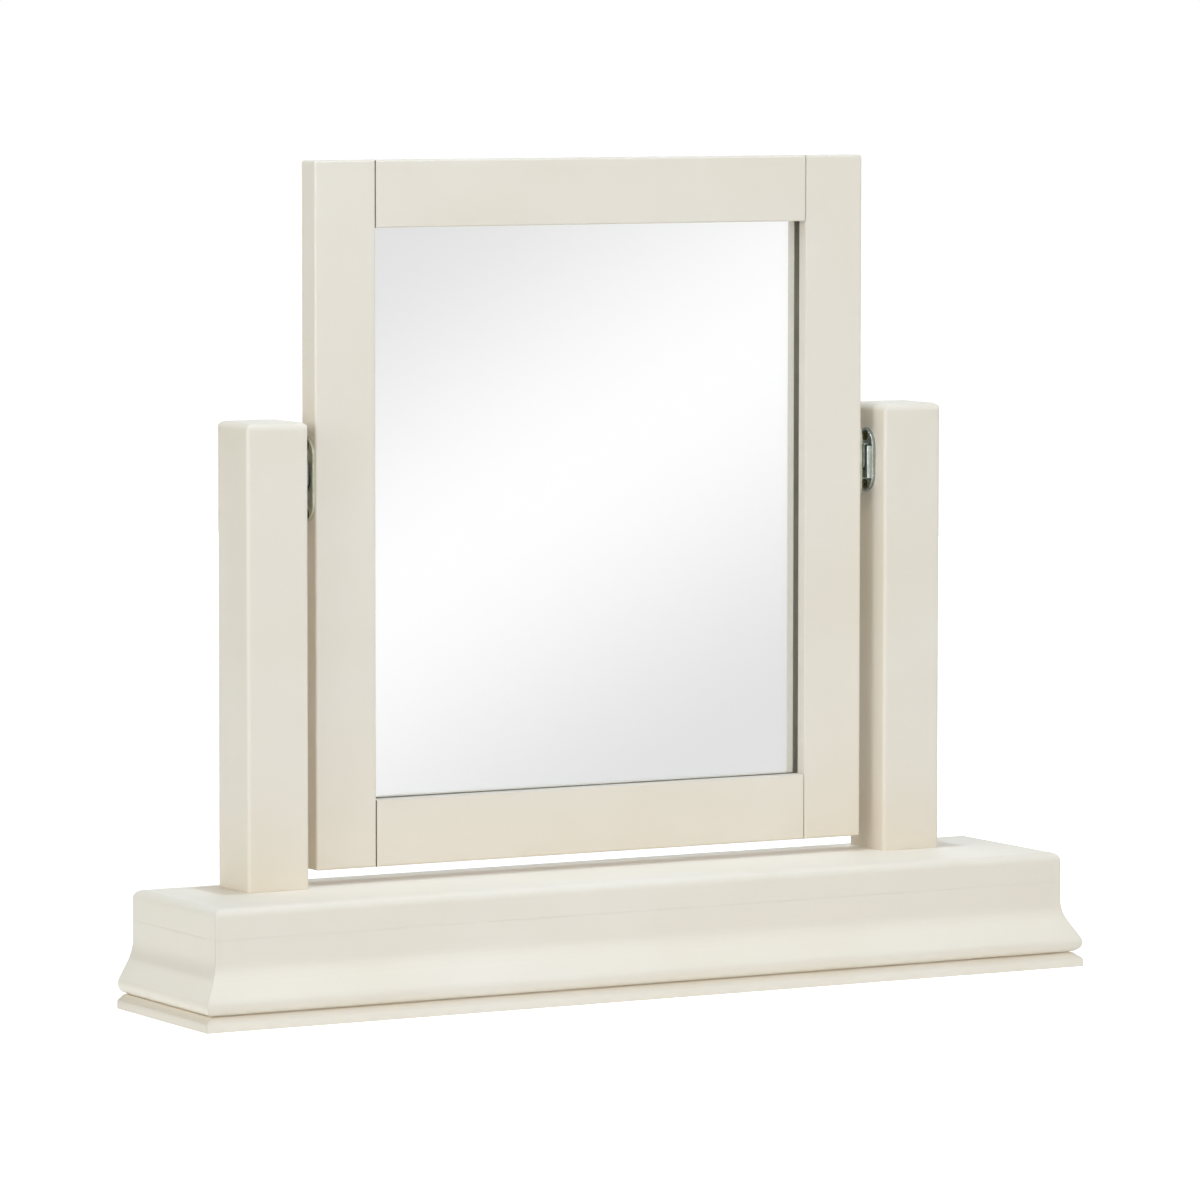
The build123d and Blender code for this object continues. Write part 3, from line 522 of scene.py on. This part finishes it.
# Four-cornered rings from the middle of the face, over the ground arrises, to the middle of the back.
steps = ((None, 0.0), (GLASS_ARRIS, 0.0), (0.0, GLASS_ARRIS), (0.0, -GLASS_ARRIS), (GLASS_ARRIS, 0.0),
         (None, 0.0))
rings = []
for number, (inset, depth) in enumerate(steps):
    y = (glass_low[1] if number < 3 else glass_high[1] - SILVERING) + depth
    corners = np.array(((-1, -1), (1, -1), (1, 1), (-1, 1)))
    half_size = (glass_high - glass_low)[[0, 2]] / 2 - (inset or 0.0)
    spread = corners * (half_size if inset is not None else 0.0) + glass_middle[[0, 2]]
    rings.append(np.stack((spread[:, 0], np.full(4, y), spread[:, 1]), axis=1))
glass = skin("silvered_glass", [np.array(rings)], [clear_glass, silver], bands=[0, 0, 0, 0, 1])
glass.data.set_sharp_from_angle(angle=GLASS_SHARP_TURN)
fit_piece(glass, "mirror", "mirror", "mirror_glass")


# ---- Back of the mirror -----------------------------------------------------------------------
# A sheet of brown hardboard covers the silver. Eight stepped clips of zinc-plated sheet press on it,
# each held down by one small countersunk screw in the back of the frame.
BOARD_BROWN, BOARD_FIBRE = "#7a5636", "#5d3f27"
FIBRE_SIZE, PATCH_SIZE = 0.9 * MM, 36 * MM
FLECK_SHARE = (0.75, 1.25)          # of both noises together: where brown turns to dark fibre
BOARD_DEPTH, BOARD_STRENGTH, BOARD_ROUGHNESS = 0.05 * MM, 0.5, 0.5
CLIP_SHEET, CLIP_WIDTH, CLIP_BEND = 1.0 * MM, 12.0 * MM, 0.9 * MM
CLIP_HOLD, CLIP_FOOT, CLIP_STEP = 5.0 * MM, 10.0 * MM, 2.0 * MM
CLIP_CORNER, CLIP_TIP_CORNER = 2.5 * MM, 0.8 * MM
CLIP_INSET = 75.0 * MM              # from a corner of the opening
REBATE_WIDTH = 7.0 * MM             # from the opening's edge to the rebate's
CLIP_SCREW = (5.0 * MM, 2.6 * MM, 9.0 * MM)     # head, shank and length
SHEET_EDGE = 0.25 * MM              # rounding that shearing and tumbling leave
SCREW_COLUMNS, HEAD_ROWS = 64, 22
CROSS_SPAN, CROSS_WIDTH = 0.50, 0.13            # an arm's length and half its width, of the head's radius
CROSS_DEPTH, HEAD_CROWN, HEAD_RIM = 0.22, 0.04, 0.03            # of the head's diameter
CROSS_END_SLOPE, CROSS_SIDE_SLOPE = 0.35, 0.4                   # of an arm's length and half width
HEAD_SINK = 0.1 * MM
ZINC, ZINC_DULL = "#c6ccc5", "#b2b8b0"


def pressed_hardboard():
    """Hardboard's smooth side: hot-pressed wood fibre, chestnut brown with darker flecks."""
    material = empty_tree(bpy.data.materials.new("pressed_hardboard"))
    place = add(material, "TexCoord").outputs["Object"]
    fibre = add(material, "TexNoise", {"Vector": place, "Scale": 1 / FIBRE_SIZE, "Detail": 4.0,
                                       "Distortion": 1.5}).outputs[0]
    patch = add(material, "TexNoise", {"Vector": place, "Scale": 1 / PATCH_SIZE}).outputs[0]
    both = add(material, "Math", {0: fibre, 1: patch}, operation="ADD").outputs[0]
    share = add(material, "MapRange", {"Value": both, "From Min": FLECK_SHARE[0],
                                       "From Max": FLECK_SHARE[1]}).outputs[0]
    colour = add(material, "Mix", {"Factor": share, "A": linear(BOARD_BROWN), "B": linear(BOARD_FIBRE)},
                 data_type="RGBA").outputs["Result"]
    surface = add(material, "Bump", {"Strength": BOARD_STRENGTH, "Distance": BOARD_DEPTH,
                                     "Height": fibre}).outputs[0]
    shader = add(material, "BsdfPrincipled", {"Base Color": colour, "Roughness": BOARD_ROUGHNESS,
                                              "Normal": surface})
    add(material, "OutputMaterial", {"Surface": shader.outputs[0]})
    return material


def rounded_path(corners, radius, steps=6):
    """Points of a plane path whose inner corners are arcs, each tangent to both of its runs."""
    corners = np.array(corners, float)
    points = [corners[0]]
    for before, corner, after in zip(corners, corners[1:], corners[2:]):
        come = (corner - before) / np.linalg.norm(corner - before)
        leave = (after - corner) / np.linalg.norm(after - corner)
        turn = np.arccos(np.clip(come @ leave, -1, 1))
        setback = radius * np.tan(turn / 2)
        side = np.sign(come[0] * leave[1] - come[1] * leave[0])
        inward = side * np.array((-come[1], come[0]))
        centre = corner - setback * come + radius * inward
        angles = np.linspace(0, turn, steps)[:, None]
        points.extend(centre - radius * (np.cos(angles) * inward - np.sin(angles) * come))
    return np.array([*points, corners[-1]])


def bent_strip(path, width, sheet, start_corner, end_corner, edge=SHEET_EDGE):
    """Sheet metal bent along a plane path: rings (rows, columns, 3) of path x, path y and across.

    Each ring is a rectangle with corners rounded to the edge's radius. Towards an end it narrows by
    the end corner's circle, then draws in by the edge's circle, and closes on the middle of the sheet."""
    run = np.concatenate(([0], np.cumsum(np.linalg.norm(np.diff(path, axis=0), axis=1))))
    length = run[-1]
    ramp = 1 - np.cos(np.linspace(0, np.pi / 2, 7))
    near = np.concatenate(([0], edge * ramp, edge + max(start_corner, 10 * WELD) * ramp[1:]))
    far = length - np.concatenate(([0], edge * ramp, edge + max(end_corner, 10 * WELD) * ramp[1:]))
    inner = run[(run > near[-1]) & (run < far[-1])]
    place = np.concatenate((near, inner, far[::-1]))
    tangent = np.gradient(path, run, axis=0)
    tangent = tangent / np.linalg.norm(tangent, axis=1)[:, None]
    middle = np.stack([np.interp(place, run, path[:, i]) for i in (0, 1)], axis=1)
    normal = np.stack((-np.interp(place, run, tangent[:, 1]), np.interp(place, run, tangent[:, 0])), axis=1)
    normal = normal / np.linalg.norm(normal, axis=1)[:, None]
    inset = np.zeros_like(place)
    narrow = np.zeros_like(place)
    for from_end, corner in ((place, start_corner), (length - place, end_corner)):
        inset += edge - np.sqrt(edge ** 2 - np.clip(edge - from_end, 0, edge) ** 2)
        narrow += corner - np.sqrt(corner ** 2 - np.clip(corner - from_end, 0, corner) ** 2)
    angle = np.radians(np.array([side + turn for side in (0, 90, 180, 270) for turn in (0, 30, 60, 90)]))
    sign_across = np.repeat((1, -1, -1, 1), 4)
    sign_through = np.repeat((1, 1, -1, -1), 4)
    across = sign_across * (width / 2 - edge - narrow - inset)[:, None] + edge * np.cos(angle)
    through = sign_through * (sheet / 2 - edge) + edge * np.sin(angle)
    through = through * (1 - inset / (sheet / 2))[:, None]
    through[[0, -1]] = 0
    flat = middle[:, None, :] + through[:, :, None] * normal[:, None, :]
    return np.concatenate((flat, across[:, :, None]), axis=2)


def screw_rings(head, shank, length):
    """A countersunk, cross-headed screw, its rim at height 0 and its point down, as rings of points.

    The head is a flat dome. The cross is the deeper of two troughs with sloping ends, which are
    functions of the point's distance along and across each arm."""
    radius, core = head / 2, shank / 2
    angle = np.linspace(0, 2 * np.pi, SCREW_COLUMNS, endpoint=False)
    spread = radius * np.linspace(0, 1, HEAD_ROWS)
    x, y = spread[:, None] * np.cos(angle), spread[:, None] * np.sin(angle)
    dome = HEAD_CROWN * head * (1 - (spread / radius) ** 2)[:, None]
    reach, half_width, depth = CROSS_SPAN * radius, CROSS_WIDTH * radius, CROSS_DEPTH * head

    def trough(along, over):
        ends = np.clip((reach - np.abs(along)) / (CROSS_END_SLOPE * reach), 0, 1)
        sides = np.clip((half_width - np.abs(over)) / (CROSS_SIDE_SLOPE * half_width) + 0.5, 0, 1)
        return depth * ends * sides

    top = np.stack((x, y, dome - np.maximum(trough(x, y), trough(y, x))), axis=2)
    rim = HEAD_RIM * head
    below = np.array(((radius, -rim), (core, core - radius - rim), (core, shank - length), (0.0, -length)))
    ring = np.stack((np.cos(angle), np.sin(angle)), axis=1)
    level = np.broadcast_to(below[:, None, 1:], (len(below), SCREW_COLUMNS, 1))
    return np.concatenate((top, np.concatenate((below[:, None, :1] * ring, level), axis=2)))


def turned_to(points, x_axis, z_axis, origin):
    """Points carried into axes that are given by their x and z directions and their origin."""
    x_axis, z_axis = np.array(x_axis, float), np.array(z_axis, float)
    return points @ np.array((x_axis, np.cross(z_axis, x_axis), z_axis)) + np.array(origin)


bright_zinc = plated_steel("bright_zinc_plate", ZINC, ZINC_DULL, mottle=3 * MM, roughness=0.26)
finish_node("backing_board", pressed_hardboard())

frame_high = np.array(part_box("right_stile")[1])
clip_low, clip_high = (np.array(corner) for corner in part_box("backing_clips"))
back_face = frame_high[1]
leaf = back_face - CLIP_STEP + CLIP_SHEET / 2
foot = back_face + CLIP_SHEET / 2
rise = -CLIP_SHEET / 2
clip_path = rounded_path([(-CLIP_HOLD, leaf), (rise, leaf), (rise, foot), (CLIP_FOOT, foot)], CLIP_BEND)
clip = bent_strip(clip_path, CLIP_WIDTH, CLIP_SHEET, CLIP_TIP_CORNER, CLIP_CORNER)
rebate_side, rebate_top = clip_high[0] - CLIP_FOOT, clip_high[2] - CLIP_FOOT
rebate_foot = clip_low[2] + CLIP_FOOT
inset = CLIP_INSET + REBATE_WIDTH
levels = (rebate_foot + inset, rebate_top - inset)
reach = rebate_side - inset
clip_places = [((side, 0, 0), (side * rebate_side, 0, level)) for side in (-1, 1) for level in levels]
clip_places += [((0, 0, end), (across, 0, edge)) for end, edge in ((-1, rebate_foot), (1, rebate_top))
                for across in (-reach, reach)]
clips, clip_screws = [], []
for out, origin in clip_places:
    out = np.array(out, float)
    along = np.cross(out, (0, 1, 0))
    clips.append(clip @ np.array((out, (0, 1, 0), along)) + np.array(origin))
    seat = np.array(origin) + out * CLIP_FOOT / 2 + (0, back_face + CLIP_SHEET - HEAD_SINK, 0)
    clip_screws.append(turned_to(screw_rings(*CLIP_SCREW), out, (0, 1, 0), seat))
fit_piece(skin("stepped_clips", clips, [bright_zinc]), "mirror", "zinc_plate", "backing_clips")
fit_piece(skin("clip_cross_screws", clip_screws, [yellow_zinc]), "mirror", "plain_screw", "clip_screws")


# ---- Pivot fittings ---------------------------------------------------------------------------
# A pair of friction pivots of zinc-plated steel. On each post sits a keeper, a plate with a
# turned-down rim and a bridge standing on it. A folded tongue drops over the bridge and carries the
# stud, on which the long plate on the frame's side turns against a dished spring washer.
KEEPER_SIZE, KEEPER_HEIGHT, KEEPER_SHEET = (18.1 * MM, 39.3 * MM), 2.4 * MM, 1.2 * MM
KEEPER_BEND = 0.5 * MM
KEEPER_PITCH, SWIVEL_PITCH = 29.8 * MM, 40.7 * MM
SWIVEL_SIZE, SWIVEL_SHEET = (16.0 * MM, 50.5 * MM), 1.5 * MM
SIDE_RADIUS, TIP_RADIUS = 12.0 * MM, 4.0 * MM
SEAT_RADIUS, SEAT_DEPTH = 3.55 * MM, 1.0 * MM
PLATE_ROWS, PLATE_COLUMNS = 150, 60
BRIDGE_WIDTH, BRIDGE_RISE = 17.0 * MM, 3.1 * MM
BRIDGE_SPAN = (-11.0 * MM, 9.0 * MM)
BRIDGE_BEND = 1.2 * MM
TONGUE_SHEET, TONGUE_WIDTH = 1.5 * MM, 12.5 * MM
TONGUE_PLAY, TONGUE_SEAT = 0.2 * MM, 0.1 * MM
TONGUE_REACH, LEAF_REACH = 10.0 * MM, 6.5 * MM
TONGUE_CORNER, LEAF_CORNER = 3.0 * MM, 5.0 * MM
FITTING_SCREW = (6.4 * MM, 3.3 * MM, 19.0 * MM)
STUD, STUD_HEAD, PEENED = 2.5 * MM, 3.8 * MM, 3.75 * MM         # radii
HEAD_BACK, HEAD_THICK, PEEN_RISE = 0.1 * MM, 1.2 * MM, 1.4 * MM
RUNNING_FIT, TURNED = 0.05 * MM, 0.1 * MM
SPRING_RADIUS, SPRING_SHEET = 6.0 * MM, 0.7 * MM
WASHER_RADIUS, WASHER_SHEET = 5.5 * MM, 1.0 * MM
BRONZE, BRONZE_WORN = "#45402a", "#716c48"
SWIVEL_SHADE_ZINC, SWIVEL_SHADE_OLIVE = "#cbc8b0", "#b4b096"      # zinc toned olive and left mostly matt, as painted shade and warm reflection of the gap
KEEPER_IN_SHADE_ZINC, KEEPER_IN_SHADE_DULL = "#aeb4ad", "#9aa09a"  # zinc darkened as painted shade, for the keeper in the gap
TONGUE_IN_SHADE_ZINC, TONGUE_IN_SHADE_DULL = "#8b918c", "#727874"  # darkened all over as painted shade, for the dark reflections of the gap
SPRING_STEEL, SPRING_DARK = "#86877f", "#65675f"

pivot = np.array(next(joint["pos_m"] for joint in frame["joints"] if joint["name"] == "mirror_tilt"))
post_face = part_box("right_keeper")[1][0]
frame_side = frame_high[0]
gap = post_face - frame_side
bridge_face = KEEPER_HEIGHT + BRIDGE_RISE
leaf_near = bridge_face + TONGUE_PLAY


def pointed_half_width(y, width, length):
    """Half the width of a pointed plate at height y: a straight side, then an arc drawn in to the
    tip, then the tip's own small arc, each tangent to the next."""
    half, reach = width / 2, length / 2
    tip_y, side_x = reach - TIP_RADIUS, half - SIDE_RADIUS
    side_y = tip_y - np.sqrt((SIDE_RADIUS - TIP_RADIUS) ** 2 - side_x ** 2)
    lean = np.arctan2(tip_y - side_y, -side_x)
    y = np.abs(y)
    side = side_x + np.sqrt(np.clip(SIDE_RADIUS ** 2 - (y - side_y) ** 2, 0, None))
    tip = np.sqrt(np.clip(TIP_RADIUS ** 2 - (y - tip_y) ** 2, 0, None))
    return np.where(y < side_y, half, np.where(y < side_y + SIDE_RADIUS * np.sin(lean), side, tip))


def pointed_plate(size, height, pitch, bend=SHEET_EDGE):
    """A pressed plate with a dished seat for a screw at each end, as rings across its length.

    The upper face drops along a quarter circle of the bend at the rim and down a cone in each seat."""
    width, length = size
    y = length / 2 * np.sin(np.linspace(-np.pi / 2, np.pi / 2, PLATE_ROWS))[:, None]
    share = np.sin(np.linspace(-np.pi / 2, np.pi / 2, PLATE_COLUMNS))[None, :]
    half = pointed_half_width(y, width, length)
    x = half * share
    rim = np.clip(bend - (half - np.abs(x)), 0, bend)
    drop = bend - np.sqrt(bend ** 2 - rim ** 2)
    for seat_y in (-pitch / 2, pitch / 2):
        drop = np.maximum(drop, np.clip(SEAT_RADIUS - np.hypot(x, y - seat_y), 0, SEAT_DEPTH))
    upper = np.stack((x, np.broadcast_to(y, x.shape), height - drop), axis=2)
    lower = np.stack((x, np.broadcast_to(y, x.shape), np.zeros_like(x)), axis=2)[:, ::-1]
    return np.concatenate((upper, lower), axis=1)


def lathe(outline, columns=72):
    """A shape turned about the z axis: each (radius, height) of its outline makes one ring."""
    outline = np.array(outline)
    angle = np.linspace(0, 2 * np.pi, columns, endpoint=False)
    radius, height = outline[:, :1], np.broadcast_to(outline[:, 1:], (len(outline), columns))
    return np.stack((radius * np.cos(angle), radius * np.sin(angle), height), axis=2)


def on_fitting(points, side):
    """From a fitting's own axes (x to the front, y up, z out from the post) to the mirror's."""
    x, y, z = np.moveaxis(points, -1, 0)
    return np.stack((side * (post_face - z), pivot[1] - x, pivot[2] + y), axis=-1)


wall = (BRIDGE_WIDTH - KEEPER_SHEET) / 2
bridge_root, bridge_middle = KEEPER_HEIGHT - KEEPER_SHEET / 2, bridge_face - KEEPER_SHEET / 2
bridge_line = rounded_path([(-wall, bridge_root), (-wall, bridge_middle), (wall, bridge_middle),
                            (wall, bridge_root)], BRIDGE_BEND)
bridge = bent_strip(bridge_line, BRIDGE_SPAN[1] - BRIDGE_SPAN[0], KEEPER_SHEET, 0.0, 0.0)
bridge = bridge[:, :, [0, 2, 1]] + (0, sum(BRIDGE_SPAN) / 2, 0)
keeper = [pointed_plate(KEEPER_SIZE, KEEPER_HEIGHT, KEEPER_PITCH, KEEPER_BEND), bridge]

inner_leaf = KEEPER_HEIGHT + TONGUE_PLAY + TONGUE_SHEET / 2
outer_leaf = leaf_near + TONGUE_SHEET / 2
fold = (outer_leaf - inner_leaf) / 2
fold_inside = fold - TONGUE_SHEET / 2
fold_y = BRIDGE_SPAN[1] + TONGUE_SEAT - np.sqrt(fold_inside ** 2 - (KEEPER_SHEET / 2) ** 2)
over = np.linspace(0, np.pi, 17)
curl = np.stack((fold_y + fold * np.sin(over), inner_leaf + fold - fold * np.cos(over)), axis=1)
tongue_line = np.concatenate(([(-TONGUE_REACH, inner_leaf)], curl, [(-LEAF_REACH, outer_leaf)]))
tongue = bent_strip(tongue_line, TONGUE_WIDTH, TONGUE_SHEET, TONGUE_CORNER, LEAF_CORNER)[:, :, [2, 0, 1]]

washer_near, washer_far = gap + RUNNING_FIT, gap + RUNNING_FIT + WASHER_SHEET
head_face, peen_foot = leaf_near + HEAD_BACK, washer_far + RUNNING_FIT
peen = np.linspace(0, np.pi / 2, 7)
stud = lathe([(0, head_face), (STUD_HEAD - TURNED, head_face), (STUD_HEAD, head_face + TURNED),
              (STUD, leaf_near + HEAD_BACK + HEAD_THICK), (STUD, peen_foot),
              *zip(PEENED * np.cos(peen), peen_foot + PEEN_RISE * np.sin(peen))])
swivel_near = gap - SWIVEL_SHEET
bore = STUD + RUNNING_FIT
near, far = leaf_near + TONGUE_SHEET + RUNNING_FIT, swivel_near - RUNNING_FIT
spring_washer = lathe([(bore, near), (SPRING_RADIUS - TURNED, far - SPRING_SHEET),
                       (SPRING_RADIUS, far - SPRING_SHEET + TURNED), (SPRING_RADIUS, far - TURNED),
                       (SPRING_RADIUS - TURNED, far), (bore, near + SPRING_SHEET), (bore, near)])
stud_washer = lathe([(bore, washer_near), (WASHER_RADIUS - TURNED, washer_near),
                     (WASHER_RADIUS, washer_near + TURNED), (WASHER_RADIUS, washer_far - TURNED),
                     (WASHER_RADIUS - TURNED, washer_far), (bore, washer_far), (bore, washer_near)])
swivel_plate = pointed_plate(SWIVEL_SIZE, SWIVEL_SHEET, SWIVEL_PITCH) * (-1, 1, -1) + (0, 0, gap)
screw = screw_rings(*FITTING_SCREW)
keeper_screws = [screw + (0, end * KEEPER_PITCH / 2, KEEPER_HEIGHT - HEAD_SINK) for end in (-1, 1)]
swivel_screws = [screw * (-1, 1, -1) + (0, end * SWIVEL_PITCH / 2, swivel_near + HEAD_SINK)
                 for end in (-1, 1)]

# Painted shade: the keeper, the tongue and the turning plate get darker copies of the zinc. The turning
# plate's copy is also olive and mostly matt. These stand in for the shade and the dark reflections in the gap
# between post and frame.
swivel_zinc_in_shade = plated_steel("filmed_zinc_plate", SWIVEL_SHADE_ZINC, SWIVEL_SHADE_OLIVE, mottle=4 * MM, roughness=0.42,
                           metallic=0.25)
keeper_in_shade_zinc = plated_steel("keeper_zinc_plate", KEEPER_IN_SHADE_ZINC, KEEPER_IN_SHADE_DULL, mottle=3 * MM, roughness=0.30)
tongue_in_shade_zinc = plated_steel("rubbed_zinc_plate", TONGUE_IN_SHADE_ZINC, TONGUE_IN_SHADE_DULL, mottle=3 * MM, roughness=0.24)
bronzed = plated_steel("bronzed_steel", BRONZE_WORN, BRONZE, mottle=1.5 * MM, roughness=0.38)
spring_steel = plated_steel("oiled_spring_steel", SPRING_STEEL, SPRING_DARK, mottle=2 * MM, roughness=0.32)
for name, side in (("right", 1), ("left", -1)):
    for part, grids, finish, body, slot, node in (
            ("keeper_pressing", keeper, keeper_in_shade_zinc, "stand", "zinc_plate", "keeper"),
            ("keeper_bronzed_screws", keeper_screws, bronzed, "stand", "bronzed_screw", "keeper_screws"),
            ("folded_tongue", [tongue], tongue_in_shade_zinc, "hangers", "zinc_plate", "tongue"),
            ("riveted_stud", [stud], bright_zinc, "hangers", "zinc_plate", "pivot_stud"),
            ("dished_spring", [spring_washer], spring_steel, "hangers", "spring_steel", "spring_washer"),
            ("flat_washer", [stud_washer], bright_zinc, "hangers", "zinc_plate", "stud_washer"),
            ("turning_plate", [swivel_plate], swivel_zinc_in_shade, "mirror", "zinc_plate", "swivel_plate"),
            ("plate_bronzed_screws", swivel_screws, bronzed, "mirror", "bronzed_screw", "swivel_screws")):
        piece = skin(f"{name}_{part}", [on_fitting(grid, side) for grid in grids], [finish])
        fit_piece(piece, body, slot, f"{name}_{node}")
